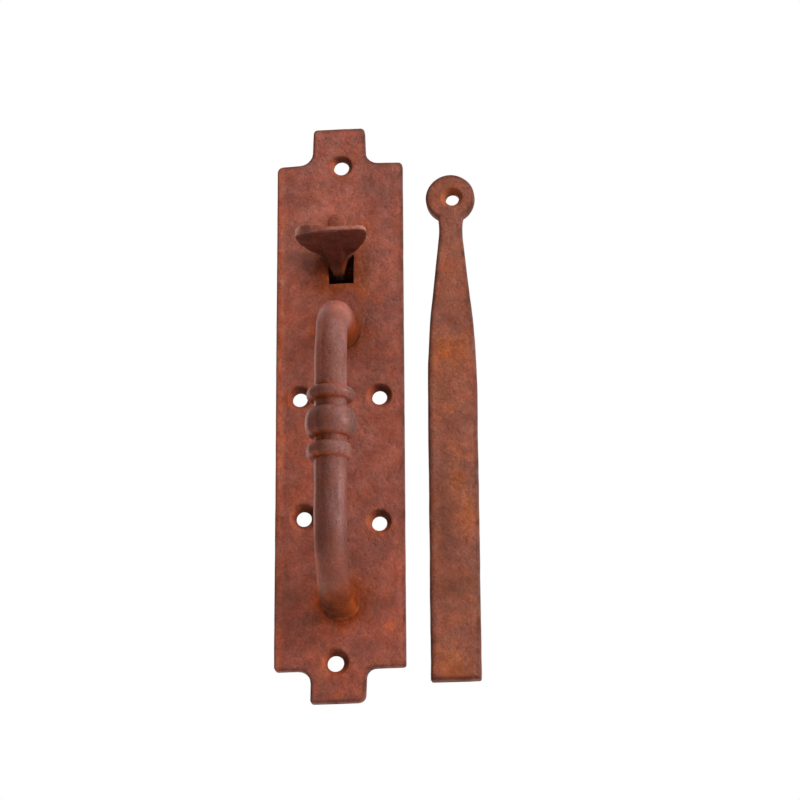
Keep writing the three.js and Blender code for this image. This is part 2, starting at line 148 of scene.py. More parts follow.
def addFloor(values):
    bm = bmesh.new()
    bmesh.ops.create_grid(bm, x_segments=1, y_segments=1, size=values["floorSize"] / 2 * mm)
    bmesh.ops.translate(bm, vec=(0, 0, -values["floorDrop"] * mm), verts=bm.verts)
    mesh = bpy.data.meshes.new("floor")
    bm.to_mesh(mesh)
    floor = bpy.data.objects.new("floor", mesh)
    bpy.context.scene.collection.objects.link(floor)
    paint = bpy.data.materials.new("paintedStudioFloor")  # matt off-white paint, which takes a soft shadow
    paint.use_nodes = True
    shader = paint.node_tree.nodes["Principled BSDF"]
    shader.inputs["Base Color"].default_value = toLinear(values["floorColor"])
    shader.inputs["Roughness"].default_value = values["floorRoughness"]
    mesh.materials.append(paint)


addCamera(cameraView)
for lampValues in lamps:
    addLamp(lampValues)
addWorld(studio)
addFloor(studio)
bpy.context.scene.view_settings.view_transform = "Standard"
print("studio ready")


# Materials

# Wrought iron left outdoors: a dense coat of red-brown rust with orange bloom in its hollows,
# darker scale in spots, and high places rubbed to a mauve grey. Matt to the eye, with a
# faint satin where hands have polished it. Sizes of its patches, spots, grain and pits are in mm,
# and real rust's grain is finer than a render shows, so it is drawn coarser.
# The edge colour also serves as painted shade, and the rubbed colour and the pale tone as painted light,
# where the pieces' marks put them.
plateLook = dict(body="#7c3d2e", warm="#8b4430", scale="#643329", bloom="#944219", rubbed="#8a5e55",
                 edge="#421c11", rubAmount=0.3, palest=1.35, roughness=(0.6, 0.85), polish=0.12,
                 specular=0.25, patch=24, spot=6, bloomSpot=10.2, wear=4, cloud=5, tint=8, grain=0.9,
                 pit=2.2, stretch=1, mottle=0.15, relief=0.25)
# turned and then bent hot, darker and smoothed by hands, with patches drawn out along the grip; its rubbed
# colour is also painted light on the grip's right side, left rim and upper bend
handleLook = dict(plateLook, palest=1.75, body="#5b2f24", warm="#6c3628", rubbed="#75463e",
                  bloom="#7a3412", edge="#3d1b0e", rubAmount=0.9, roughness=(0.47, 0.6), specular=0.22,
                  stretch=0.3, mottle=0.1)
# forged and pressed by thumbs: painted shade beneath, and rubbed to a pale mauve on its front and arrises,
# partly as painted light
liftLook = dict(plateLook, body="#5f2e21", warm="#6c331e", rubbed="#915d51", bloom="#8a3c14",
                edge="#380f07", rubAmount=1, roughness=(0.5, 0.7), specular=0.15, mottle=0.08)
# rolled flat, with a fresher and more orange coat
barLook = dict(plateLook, body="#753d2b", warm="#87472d", bloom="#9c4f22")
# kept out of the rain behind the plate, with its black forge scale hardly rusted, and nearly black as
# painted shade behind the slot and the plate
innerLook = dict(plateLook, body="#1a0c08", warm="#22110b", scale="#100806", bloom="#3c1c10", rubAmount=0.1)


def per(size):
    return 1 / (size * mm)  # texture scale for a feature of this many millimetres


def rustedIron(name, look):
    material = bpy.data.materials.new(name)
    material.use_nodes = True
    tree = material.node_tree
    shader = tree.nodes["Principled BSDF"]
    place = addNode(tree, "ShaderNodeTexCoord").outputs["Object"]
    fields = {key: addNode(tree, "ShaderNodeAttribute", attribute_name=key).outputs["Fac"]
              for key in ("hollow", "edge", "rub", "pale", "dim")}
    smooth, rough = look["roughness"]
    dull, vivid = 1 - look["mottle"], 1 + look["mottle"]

    # noises: size of a feature, detail, roughness, shift, and how far it is drawn out along the piece
    for key, size, detail, roughness, shift, drawn in (
            ("patches", look["patch"], 3, 0.55, 0, look["stretch"]),
            ("spots", look["spot"], 4, 0.6, 0.31, 1),
            ("blooms", look["bloomSpot"], 4, 0.6, 0.57, 1),
            ("wear", look["wear"], 4, 0.6, 0.45, look["stretch"]),
            ("cloud", look["cloud"], 3, 0.6, 0.74, look["stretch"]),
            ("tint", look["tint"], 2, 0.5, 0.21, 1),
            ("grain", look["grain"], 2, 0.6, 0.12, 1),
            ("pits", look["pit"], 3, 0.5, 0.83, 1)):
        moved = addNode(tree, "ShaderNodeMapping", {"Vector": place, "Location": (shift, shift, 0),
                                                    "Scale": (1, 1, drawn)})
        noiseNode = addNode(tree, "ShaderNodeTexNoise", {"Vector": moved.outputs[0], "Scale": per(size),
                                                         "Detail": detail, "Roughness": roughness})
        fields[key] = noiseNode.outputs["Fac"]

    # smooth ranges: the noise or attribute that is read, its low and high end, and what they become
    for key, source, low, high, toLow, toHigh in (
            ("warmth", "patches", 0.38, 0.62, 0, 1),
            ("scaling", "spots", 0.55, 0.72, 0, 0.65),
            ("freshSpots", "blooms", 0.6, 0.74, 0, 0.5),
            ("damp", "blooms", 0.3, 0.6, 0, 1),
            ("deep", "hollow", 0.7, 1, 0, 0.8),
            ("worn", "wear", 0.25, 0.55, 0, 1),
            ("darkened", "spots", 0.3, 0.6, 0.95, 0.6),
            ("paler", "pale", 0, 1, 1, look["palest"]),
            ("duller", "dim", 0, 1, 0, -0.4),
            ("redCloud", "cloud", 0.32, 0.68, dull, vivid),
            ("greenTint", "tint", 0.35, 0.65, 0.92, 1.08),
            ("blueTint", "tint", 0.35, 0.65, 0.86, 1.14),
            ("redGrain", "grain", 0.3, 0.7, 0.88, 1.12),
            ("greenGrain", "grain", 0.3, 0.7, 0.81, 1.19),
            ("blueGrain", "grain", 0.3, 0.7, 0.78, 1.22),
            ("matt", "spots", 0.35, 0.7, rough, smooth),
            ("gloss", "hollow", 0.2, 1, look["specular"], 0.25 * look["specular"]),
            ("pitted", "pits", 0.3, 0.5, 0, 1)):
        ranged = addNode(tree, "ShaderNodeMapRange",
                         {"Value": fields[source], "From Min": low, "From Max": high, "To Min": toLow,
                          "To Max": toHigh}, interpolation_type="SMOOTHSTEP")
        fields[key] = ranged.outputs["Result"]

    # sums and products of two of these, or of one and a number
    for key, operation, first, second in (
            ("freshHollows", "MULTIPLY", "hollow", "damp"),
            ("fresh", "MAXIMUM", "freshSpots", "freshHollows"),
            ("blooming", "MAXIMUM", "fresh", "deep"),
            ("rubbed", "MULTIPLY", "rub", "worn"),
            ("rubbing", "MULTIPLY", "rubbed", look["rubAmount"]),
            ("edging", "MULTIPLY", "edge", "darkened"),
            ("greenCloud", "MULTIPLY", "redCloud", "greenTint"),
            ("blueCloud", "MULTIPLY", "redCloud", "blueTint"),
            ("tone", "ADD", "paler", "duller"),
            ("polished", "MULTIPLY", "rubbed", look["polish"]),
            ("rough", "SUBTRACT", "matt", "polished"),
            ("grainHigh", "MULTIPLY", "grain", 0.35),
            ("height", "ADD", "grainHigh", "pitted")):
        terms = {0: fields[first], 1: fields.get(second, second)}
        fields[key] = addNode(tree, "ShaderNodeMath", terms, operation=operation).outputs[0]

    # coats over one another, and then clouds, tone and grain multiplied in; on a colour Mix node
    # the two colours are inputs 6 and 7, and the result is output 2
    color = toLinear(look["body"])
    # the edge coat is dark scale and also painted shade, and the rubbed coat is wear and in places painted
    # light
    for amount, coat in (("warmth", "warm"), ("scaling", "scale"), ("blooming", "bloom"),
                         ("rubbing", "rubbed"), ("edging", "edge")):
        color = addNode(tree, "ShaderNodeMix", {0: fields[amount], 6: color, 7: toLinear(look[coat])},
                        data_type="RGBA").outputs[2]
    # the tone multiplies in painted light and shade as well as the rust's own paler and darker patches
    for channels in (("redCloud", "greenCloud", "blueCloud"), ("tone", "tone", "tone"),
                     ("redGrain", "greenGrain", "blueGrain")):
        factors = addNode(tree, "ShaderNodeCombineColor",
                          {i: fields[key] for i, key in enumerate(channels)})
        color = addNode(tree, "ShaderNodeMix", {0: 1, 6: color, 7: factors.outputs[0]}, data_type="RGBA",
                        blend_type="MULTIPLY").outputs[2]
    bump = addNode(tree, "ShaderNodeBump", {"Height": fields["height"], "Strength": 0.55,
                                            "Distance": look["relief"] * mm})
    tree.links.new(color, shader.inputs["Base Color"])
    tree.links.new(fields["rough"], shader.inputs["Roughness"])
    tree.links.new(fields["gloss"], shader.inputs["Specular IOR Level"])
    tree.links.new(bump.outputs[0], shader.inputs["Normal"])
    return material


plateRust = rustedIron("rustedPlateIron", plateLook)
handleRust = rustedIron("handWornIron", handleLook)
liftRust = rustedIron("rustedLiftIron", liftLook)
barRust = rustedIron("rustedBarIron", barLook)
innerRust = rustedIron("darkScaleAndShadeIron", innerLook)
print("materials ready")


# Shared shaping steps

def newObject(name, bm):
    mesh = bpy.data.meshes.new(name)
    bm.to_mesh(mesh)
    bm.free()
    thing = bpy.data.objects.new(name, mesh)
    bpy.context.scene.collection.objects.link(thing)
    return thing


def applied(thing):
    # the object's modifiers made real, handed back as a bmesh
    graph = bpy.context.evaluated_depsgraph_get()
    mesh = bpy.data.meshes.new_from_object(thing.evaluated_get(graph))
    bm = bmesh.new()
    bm.from_mesh(mesh)
    bpy.data.meshes.remove(mesh)
    bpy.data.objects.remove(thing)
    return bm


def boolean(bm, tool, kind="DIFFERENCE"):
    thing = newObject("work", bm)
    other = newObject("tool", tool)
    cut = thing.modifiers.new("cut", "BOOLEAN")
    cut.operation = kind
    cut.solver = "EXACT"
    cut.object = other
    made = applied(thing)
    bpy.data.objects.remove(other)
    return made


def softenEdges(bm, width, angle=30):
    thing = newObject("work", bm)
    bevel = thing.modifiers.new("soften", "BEVEL")
    bevel.width = width
    bevel.segments = 2
    bevel.use_clamp_overlap = False
    bevel.limit_method = "ANGLE"
    bevel.angle_limit = math.radians(angle)
    return applied(thing)


def turn(bm, profile, centre, axis, segments):
    # spins a profile of (radius, place along the axis) about the axis
    side = axis.orthogonal().normalized()
    verts = [bm.verts.new(centre + side * radius + axis * along) for radius, along in profile]
    edges = [bm.edges.new(pair) for pair in zip(verts, verts[1:])]
    bmesh.ops.spin(bm, geom=verts + edges, cent=centre, axis=axis, dvec=(0, 0, 0), angle=2 * math.pi,
                   steps=segments, use_merge=True, use_duplicate=False)
    bmesh.ops.remove_doubles(bm, verts=bm.verts, dist=1e-3)
    bmesh.ops.recalc_face_normals(bm, faces=bm.faces)


def rodProfile(radius, half):
    return [(0, -half), (radius, -half), (radius, half), (0, half)]


def boxTool(centre, size):
    tool = bmesh.new()
    bmesh.ops.create_cube(tool, size=1)
    bmesh.ops.scale(tool, vec=size, verts=tool.verts)
    bmesh.ops.translate(tool, vec=centre, verts=tool.verts)
    return tool


def slabFrom(outline, front, back):
    # a flat outline in x and z, made solid from y = front to y = back
    bm = bmesh.new()
    face = bm.faces.new([bm.verts.new((x, front, z)) for x, z in outline])
    grown = bmesh.ops.extrude_face_region(bm, geom=[face])["geom"]
    moved = [item for item in grown if isinstance(item, bmesh.types.BMVert)]
    bmesh.ops.translate(bm, vec=(0, back - front, 0), verts=moved)
    bmesh.ops.recalc_face_normals(bm, faces=bm.faces)
    return bm


def liesInFront(item, front):
    return all(abs(vert.co.y - front) < 0.01 for vert in item.verts)


def wearFrontEdges(bm, front, width):
    edges = [edge for edge in bm.edges if liesInFront(edge, front)]
    bmesh.ops.bevel(bm, geom=edges, offset=width, offset_type="OFFSET", segments=3, profile=0.5,
                    affect="EDGES", material=-1)


def frontOutline(bm, front):
    # the outline's corners in order, read from the slab before its edges are worn
    faces = [face for face in bm.faces if liesInFront(face, front)]
    return [Vector((vert.co.x, vert.co.z)) for vert in faces[0].verts]


def distanceTo(a, b, point):
    side = b - a
    along = limited((point - a).dot(side) / side.length_squared)
    return (point - a - side * along).length


def depthInside(outline, co):
    # how far a point lies from the nearest side of the outline
    point = Vector((co.x, co.z))
    return min(distanceTo(a, b, point) for a, b in zip(outline, outline[1:] + outline[:1]))


def screwHoleTool(bm, x, z, radius, sink, front):
    profile = [(0, front - 1), (radius + sink + 1, front - 1), (radius, front + sink), (radius, 1), (0, 1)]
    turn(bm, profile, Vector((x, 0, z)), inward, 40)


def shadySide(co, x, z, radius, sink):
    # painted shade on the upper right of a countersink, where its wall faces away from the light, 1 at its
    # steepest place and 0 outside
    out = math.hypot(co.x - x, co.z - z)
    facing = 0.4 + 0.8 * (co.x - x + co.z - z) / max(out, 0.1) / math.sqrt(2)
    return limited(facing) * limited((radius + sink + 0.6 - out) / 0.9)


def gridCuts(bm, step):
    # parallel cuts both ways across the whole piece, so that its flat faces can take dents
    for axis in (across, upward):
        bmesh.ops.triangulate(bm, faces=[face for face in bm.faces if len(face.verts) > 4])
        places = [vert.co.dot(axis) for vert in bm.verts]
        count = int((max(places) - min(places)) / step)
        for i in range(1, count):
            everything = bm.verts[:] + bm.edges[:] + bm.faces[:]
            bmesh.ops.bisect_plane(bm, geom=everything, dist=1e-3, plane_co=axis * (min(places) + i * step),
                                   plane_no=axis)


def hammer(bm, dents, seed, along=(1, 1, 1)):
    # smooth dents and waves of one size and depth
    size, depth = dents
    offset = Vector((seed, 2 * seed, 3 * seed))
    for vert in bm.verts:
        vert.co += noise.noise_vector(vert.co / size + offset) * depth * Vector(along)


def keepInside(bm, low, high):
    # dents never carry a flat piece past its part's back or sides; its front is left as it is
    for vert in bm.verts:
        vert.co.x = limited(vert.co.x, low.x, high.x)
        vert.co.y = min(vert.co.y, high.y)
        vert.co.z = limited(vert.co.z, low.z, high.z)


def mark(bm, name, strength):
    # an attribute from 0 to 1 that the rust reads
    layer = bm.verts.layers.float.get(name) or bm.verts.layers.float.new(name)
    for vert in bm.verts:
        vert[layer] = limited(strength(vert.co))


def markTone(bm, patches, dull):
    # patches: centre, reach across and along, and strength, above 0 paler and below 0 darker; dull is a
    # second darkening, used for painted shade
    def coat(co):
        return sum(strength * math.exp(-((co.x - x) / wide) ** 2 - ((co.z - z) / tall) ** 2)
                   for x, z, wide, tall, strength in patches)

    mark(bm, "pale", coat)
    mark(bm, "dim", lambda co: max(-coat(co), dull(co)))


def finishPiece(name, bm, body, material, nodes, sharp=40):
    bmesh.ops.scale(bm, vec=(mm, mm, mm), verts=bm.verts)
    piece = newObject(name, bm)
    piece.data.materials.append(material)
    piece.data.shade_smooth()
    piece.data.set_sharp_from_angle(angle=math.radians(sharp))
    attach(piece, body)
    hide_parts(*nodes)
    print(f"{name}: {len(piece.data.polygons)} faces")


def quadratic(start, control, end, count):
    points = []
    for i in range(count + 1):
        t = i / count
        points.append(tuple((1 - t) ** 2 * a + 2 * t * (1 - t) * b + t * t * c
                            for a, b, c in zip(start, control, end)))
    return points


# Back plate

# Its slot lets the thumb lift through. A screw hole is x, z, radius and countersink. The lip is a
# shallow groove that the shears have left inside the left edge, and a line of painted shadow lies
# where the press's root comes closest to the plate.
plateLow, plateHigh = boxInMm("back_plate")
plateSizes = dict(halfWidth=plateHigh.x, halfLength=plateHigh.z, front=plateLow.y, topShoulder=103.2,
                  bottomShoulder=-105.3, tabX=-0.3, halfTab=10.8, taper=0.5, corner=1.6, shoulder=4.4,
                  edge=0.7, soften=0.2, grid=1.6, waves=(26, 0.32), dents=(7, 0.09),
                  lip=3.2, lipDeep=0.3, lipWide=1.6,
                  slotX=0.5, slotWidth=10.2, slotBottom=51.4, slotTop=69.6,
                  screwHoles=[(0.5, 101.95, 3.1, 1.4), (-15.9, 3.9, 2.95, 1.9), (15.5, 3.7, 2.95, 2.1),
                              (-14.2, -45.1, 3.0, 2.5), (15.3, -47.8, 3.0, 1.9), (-1.7, -103, 3.2, 2.1)],
                  # tone patches: painted shadows of the handle and the press, painted light beside the grip
                  # and along the left margin, and the rust's own paler and darker places
                  patches=[(-23.5, 5, 3, 70, 0.6), (-17, 42, 6, 16, 0.7), (-20, -10, 14, 60, 0.35),
                           (25.5, -82, 3, 22, 0.9), (24.5, 10, 2.5, 90, 0.45), (21, 2, 5, 5, 0.5),
                           (14, 15, 13, 40, -0.45), (8, 28, 6, 13, -0.5), (9, -80, 7, 9, -0.8),
                           (-20, -77, 8, 16, -0.7), (-24, -40, 3, 7, -0.8), (-24.5, -65, 2.5, 18, -0.4),
                           (0, 115, 14, 12, -0.2), (-10, 59, 6, 6, -1.1), (9.5, 60, 4.5, 8, -1),
                           (-15, 63, 9, 5, -0.7), (-4, 81, 11, 7, 0.8), (3, 92, 8, 4, 0.35),
                           (-9, 42, 5, 7, 0.8), (-11, 5, 3, 32, 0.8), (1, -91, 6, 3.5, 0.9),
                           (-14, -99, 12, 5, 0.5), (24.5, -103, 3, 6, 0.8), (19, -89, 3, 3, 0.7),
                           (11.4, -92.4, 0.9, 0.7, 1.5)],
                  pressShadowLine=[Vector((-8.9, 63.3)), Vector((-5.9, 60.9)), Vector((-4.9, 55.6))])

# the handle's feet on the plate, and the countersunk screw that holds each from behind
feet = dict(x=0.5, top=31.2, bottom=-79.3, flange=8, shank=2.4, head=4.4, headDeep=2, length=14, play=0.15,
            driverSlot=(12, 2.2, 1.2), soften=0.18)


def footScrewProfile(play):
    shank, head, end = feet["shank"] + play, feet["head"] + play, -feet["length"] - play
    return [(0, end), (shank, end), (shank, -feet["headDeep"] - play), (head, play), (0, play)]


def addFootBores(tool):
    for z in (feet["top"], feet["bottom"]):
        turn(tool, footScrewProfile(feet["play"]), Vector((feet["x"], 0, z)), inward, 32)


def plateBlank(sizes):
    wide, tall, taper = sizes["halfWidth"], sizes["halfLength"], sizes["taper"]
    corner, shoulder = sizes["corner"], sizes["shoulder"]
    left, right = sizes["tabX"] - sizes["halfTab"], sizes["tabX"] + sizes["halfTab"]
    low, high = sizes["bottomShoulder"], sizes["topShoulder"]
    # each corner's x and z, a little out of true as it was cut by hand, and how far it is rounded
    corners = [(-wide, low - 0.4, corner), (left, low - 0.3, 1.2 * shoulder),
               (left - 0.2, -tall, 0.8 * corner), (right - 1.4 * taper, -tall, 1.8 * corner),
               (right - 0.2, low, 0.8 * shoulder), (wide, low + 0.3, 0.7 * corner),
               (wide, high - taper, corner), (right, high, 1.1 * shoulder),
               (right - taper, tall, corner), (left + taper, tall, corner),
               (left, high + 0.2, 1.1 * shoulder), (-wide, high - 0.6 * taper, 1.5 * corner)]
    bm = slabFrom([(x, z) for x, z, radius in corners], sizes["front"], 0)
    for radius in sorted({radius for x, z, radius in corners}):
        edges = [edge for edge in bm.edges if abs(edge.verts[0].co.y - edge.verts[1].co.y) > 1
                 and any(math.hypot(edge.verts[0].co.x - x, edge.verts[0].co.z - z) < 0.01
                         for x, z, size in corners if size == radius)]
        bmesh.ops.bevel(bm, geom=edges, offset=radius, offset_type="OFFSET", segments=5, profile=0.5,
                        affect="EDGES", material=-1)
    return bm


def markPlate(bm, sizes, outline):
    slotHigh = sizes["slotTop"] - sizes["slotBottom"]
    slotZ = sizes["slotBottom"] + slotHigh / 2
    bloomHalf = 9  # the bloom begins just inside the slot's ends

    def fromHole(co):
        return min(math.hypot(co.x - x, co.z - z) - radius for x, z, radius, sink in sizes["screwHoles"])

    def bloomed(co):
        # round the holes, the slot and the feet, along the left edge and in a spot low on the right
        fromSlot = max(abs(co.x - sizes["slotX"]) - sizes["slotWidth"] / 2, abs(co.z - slotZ) - bloomHalf)
        feetAway = [math.hypot(co.x - feet["x"], co.z - feet[end]) for end in ("top", "bottom")]
        fromFoot = min(feetAway) - feet["flange"]
        strip = 0.9 - abs(co.x + sizes["halfWidth"] - 1.5) / 1.7
        spot = 1.2 - math.hypot(co.x - 19, co.z + 89) / 3.5
        return max(1.2 - fromHole(co) / 3, 1.25 - fromSlot / 8, 1 - fromFoot / 7, strip, spot)

    def rubbed(co):
        # more and more towards the top, and all along the left edge
        margin = 1 - abs(co.x + sizes["halfWidth"] - 1.2) / 2.2
        return max(0.45 + 0.3 * co.z / sizes["halfLength"], margin)

    def countersinkShade(co):
        return max(shadySide(co, *hole) for hole in sizes["screwHoles"])

    def footShadow(co):
        # a dark line of painted shadow along the lower right of the lower foot
        right, below = co.x - feet["x"], feet["bottom"] - co.z
        ring = 1 - abs(math.hypot(right, below) - feet["flange"] - 1) / 1.2
        return 0.35 * ring * limited((below + 0.5 * right) / 4)

    def scaleAndShade(co):
        # dark scale along the edges, and painted shade in the countersinks, inside the bores and the slot,
        # along the press's shadow line, in a patch left of the press's root and under the lower foot
        worn = (0.9 if co.x < 3 - sizes["halfWidth"] else 1.4) - depthInside(outline, co)
        inBore = (co.y - sizes["front"] - 1.8) / 0.6 if fromHole(co) < 1.8 else 0
        nearSlot = abs(co.x - sizes["slotX"]) < 6 and abs(co.z - slotZ) < slotHigh / 2 + 1
        inSlot = (co.y - sizes["front"] - 0.1) / 0.5 if nearSlot else 0
        point = Vector((co.x, co.z))
        fromPressShadow = min(distanceTo(a, b, point) for a, b in zip(sizes["pressShadowLine"], sizes["pressShadowLine"][1:]))
        paintedShadePatch = 0.7 - 0.5 * math.hypot((co.x + 9) / 5, (co.z - 60) / 4)
        return max(worn, countersinkShade(co), 1.3 - fromPressShadow / 0.9, paintedShadePatch, footShadow(co), inBore, inSlot)

    mark(bm, "hollow", bloomed)
    mark(bm, "rub", rubbed)
    mark(bm, "edge", scaleAndShade)
    # the tone's dull part is painted shade in the countersinks and on faces inside the bores, the slot and
    # behind
    markTone(bm, sizes["patches"], lambda co: max(1.2 * countersinkShade(co) - 0.1, 0.5 * (co.y + 1.6)))


def makePlate(sizes):
    bm = plateBlank(sizes)
    outline = frontOutline(bm, sizes["front"])
    wearFrontEdges(bm, sizes["front"], sizes["edge"])
    tool = bmesh.new()
    for hole in sizes["screwHoles"]:
        screwHoleTool(tool, *hole, sizes["front"])
    addFootBores(tool)
    bm = boolean(bm, tool)
    bm = boolean(bm, boxTool((sizes["slotX"], 0, (sizes["slotTop"] + sizes["slotBottom"]) / 2),
                             (sizes["slotWidth"], 20, sizes["slotTop"] - sizes["slotBottom"])))
    bm = softenEdges(bm, sizes["soften"], angle=35)
    gridCuts(bm, sizes["grid"])
    markPlate(bm, sizes, outline)
    for vert in bm.verts:
        if vert.co.y < sizes["front"] + 0.1:
            fromLip = (vert.co.x + sizes["halfWidth"] - sizes["lip"]) / sizes["lipWide"]
            vert.co.y += sizes["lipDeep"] * math.exp(-fromLip ** 2)
    hammer(bm, sizes["waves"], seed=3.1, along=(0.3, 1, 0.3))
    hammer(bm, sizes["dents"], seed=8.7)
    keepInside(bm, plateLow, plateHigh)
    finishPiece("backPlate", bm, "plate", plateRust, ["back_plate"])


makePlate(plateSizes)


# Pull handle: a turned bar with three beads, bent into a bow

handleSizes = dict(x=0.4, standoff=33, bend=20, grip=6.25, leg=7.1, flangeHigh=2.2, flangeEdge=0.6,
                   waist=0.25, segments=64, step=1.0, dents=(11, 0.22),
                   beads=[dict(z=-29.4, radius=8.7, half=2.9, fullness=0.7, shift=-0.6),
                          dict(z=-18.2, radius=10.02, half=5.6, fullness=0.75, shift=0.1),
                          dict(z=-6.8, radius=9.2, half=2.4, fullness=0.65, shift=0.1)])


def handleProfile(sizes):
    # radius and place along the straight bar, from the lower foot to the upper one
    arc = sizes["bend"] * math.pi / 2
    length = arc + sizes["standoff"] - sizes["bend"]
    low = feet["bottom"] + sizes["bend"]
    high = feet["top"] - sizes["bend"]
    flange, edge = feet["flange"], sizes["flangeEdge"]
    under = length - sizes["flangeHigh"]
    half = [(0, length), (flange - edge, length), (flange, length - edge), (flange, under + edge),
            (flange - edge, under), (sizes["leg"], under - 0.4)]
    steps = int(arc / sizes["step"])
    for i in range(steps + 1):
        toLeg = 1 - i / steps
        waist = sizes["waist"] * math.sin(math.pi * toLeg)
        half.append((sizes["grip"] + (sizes["leg"] - sizes["grip"]) * toLeg ** 3 - waist, arc * toLeg))
    lower = [(radius, low - past) for radius, past in half]
    upper = [(radius, high + past) for radius, past in reversed(half)]
    middle = []
    beadSteps = 14
    z = low + sizes["step"]
    for bead in sizes["beads"]:
        while z < bead["z"] - bead["half"] - 0.2:
            middle.append((sizes["grip"], z))
            z += sizes["step"]
        for i in range(beadSteps + 1):
            angle = math.pi * i / beadSteps
            swell = (bead["radius"] - sizes["grip"]) * math.sin(angle) ** bead["fullness"]
            middle.append((sizes["grip"] + swell, bead["z"] - bead["half"] * math.cos(angle)))
        z = bead["z"] + bead["half"] + 0.4
    while z < high - 0.2:
        middle.append((sizes["grip"], z))
        z += sizes["step"]
    return lower + middle + upper


def bendBow(bm, sizes):
    # the straight bar's middle stays on the grip's axis and both ends turn to the plate
    gripY = plateLow.y - sizes["standoff"]
    middle = (feet["top"] + feet["bottom"]) / 2
    for vert in bm.verts:
        side = 1 if vert.co.z > middle else -1
        start = feet["top"] - sizes["bend"] if side > 0 else feet["bottom"] + sizes["bend"]
        past = side * (vert.co.z - start)
        angle = limited(past / sizes["bend"], 0, math.pi / 2)
        legRun = max(past - sizes["bend"] * math.pi / 2, 0)
        reach = sizes["bend"] - vert.co.y
        y = gripY + sizes["bend"] - reach * math.cos(angle) + legRun
        z = start + side * (reach * math.sin(angle) + min(past, 0))
        vert.co = (vert.co.x, y, z)


def markHandle(bm, sizes):
    # the bar is still straight here, and most places on it are heights above or below its middle
    middle = (feet["top"] + feet["bottom"]) / 2
    ball = sizes["beads"][1]
    grooves = [bead["z"] + side * bead["half"] for bead in sizes["beads"] for side in (-1, 1)]
    belowBeads = -36  # z where the plain lower grip begins
    upperBend, lowerBend = 58, 50  # how far above and below the middle fresh rust begins

    def groove(co, reach):
        return 1 - min(abs(co.z - place) for place in grooves) / reach

    def sideways(co):
        # -1 at the handle's left, 1 at its right
        return (co.x - sizes["x"]) / max(math.hypot(co.x - sizes["x"], co.y), 0.1)

    def scaleAndShade(co):
        # painted shade in the grooves, more on the left, in a band left of centre on the lower grip,
        # behind the lower half where it faces the plate, under the lower bend and round the upper foot
        lower = limited((belowBeads - co.z) / 8) if abs(co.z - middle) < 44 else 0
        band = 0.7 * lower * (1 - abs(sideways(co) + 0.66) / 0.26)
        below = 0.7 * min((middle - co.z - lowerBend - 2) / 9, (1 - co.y - 0.5 * co.x) / 4)
        behind = 0.45 * min(co.y + 3.2, 1) if co.z < middle else 0
        inGroove = (0.1 - 0.8 * min(sideways(co), 0)) * groove(co, 1.3)
        return max(inGroove, band, below, behind, 0.4 * (co.z - middle - 75.5))

    def wornAndPaintedLight(co):
        # worn smooth by the palm on the right side, which is paler also as painted light; painted light
        # along the left rim and over the upper bend
        past = (co.z - middle - upperBend) * 2 if co.z > middle else (middle - co.z - 31) * 1.3
        left = min((-sideways(co) - 0.79) / 0.06, 1.2)
        right = (0.65 if co.z > belowBeads else 1) * (co.x - sizes["x"]) / sizes["grip"]
        return max(0.35 + right, left, 1.4 - abs(co.z - middle - 54) / 7) * (1 - max(past, 0) / 13)

    def bloomed(co):
        # fresh rust in the grooves and on both legs
        leg = abs(co.z - middle) - (upperBend if co.z > middle else lowerBend)
        return max(1.3 * groove(co, 1.8) - 0.2, leg / 10)

    def paler(co):
        # painted light along the left rim, over the upper bend, in the grooves towards the right and right
        # of the lower foot
        left = min((-sideways(co) - 0.8) / 0.12, 0.52) if abs(co.z - middle) < 50 else 0
        bend = (1.6 - abs(co.z - middle - 56) / 6) * (1 - 0.5 * max(sideways(co), 0))
        foot = min((middle - co.z - 62) / 9 * (sideways(co) + 0.4), 0.65, (-2.4 - co.y) / 2)
        return max(left, bend, 0.42 * groove(co, 1.7) * (sideways(co) + 0.8), foot)

    def shaded(co):
        # painted shade on both sides of the ball and on the left of the rings
        if abs(co.z - ball["z"]) > 14.5:
            return 0
        left = 0.4 * min(-sideways(co) / 0.3, (sideways(co) + 0.93) / 0.1)
        right = 0.4 * (sideways(co) - 0.45) / 0.3 if co.z > ball["z"] - ball["half"] else 0
        return max(left, right)

    mark(bm, "hollow", bloomed)
    mark(bm, "edge", scaleAndShade)
    mark(bm, "rub", wornAndPaintedLight)
    mark(bm, "pale", paler)
    mark(bm, "dim", shaded)


def makeHandle(sizes):
    bm = bmesh.new()
    turn(bm, handleProfile(sizes), Vector((sizes["x"], 0, 0)), upward, sizes["segments"])
    for bead in sizes["beads"]:
        for vert in bm.verts:
            swell = 1 - abs(vert.co.z - bead["z"]) / bead["half"]
            vert.co.x += bead["shift"] * limited(2 * swell)
    markHandle(bm, sizes)
    bendBow(bm, sizes)
    hammer(bm, sizes["dents"], seed=5.3)
    tool = bmesh.new()
    addFootBores(tool)
    bm = boolean(bm, tool)
    finishPiece("pullHandle", bm, "plate", handleRust, ["pull_handle"], sharp=50)


makeHandle(handleSizes)


# Screws of the handle's feet, seen only from behind

def makeFootScrew(name, z, node):
    bm = bmesh.new()
    turn(bm, footScrewProfile(0), Vector((feet["x"], 0, z)), inward, 40)
    bm = boolean(bm, boxTool((feet["x"], 0, z), feet["driverSlot"]))
    bm = softenEdges(bm, feet["soften"])
    finishPiece(name, bm, "plate", innerRust, [node])


makeFootScrew("footScrewTop", feet["top"], "handle_screw_top")
makeFootScrew("footScrewBottom", feet["bottom"], "handle_screw_bottom")


# Latch bar

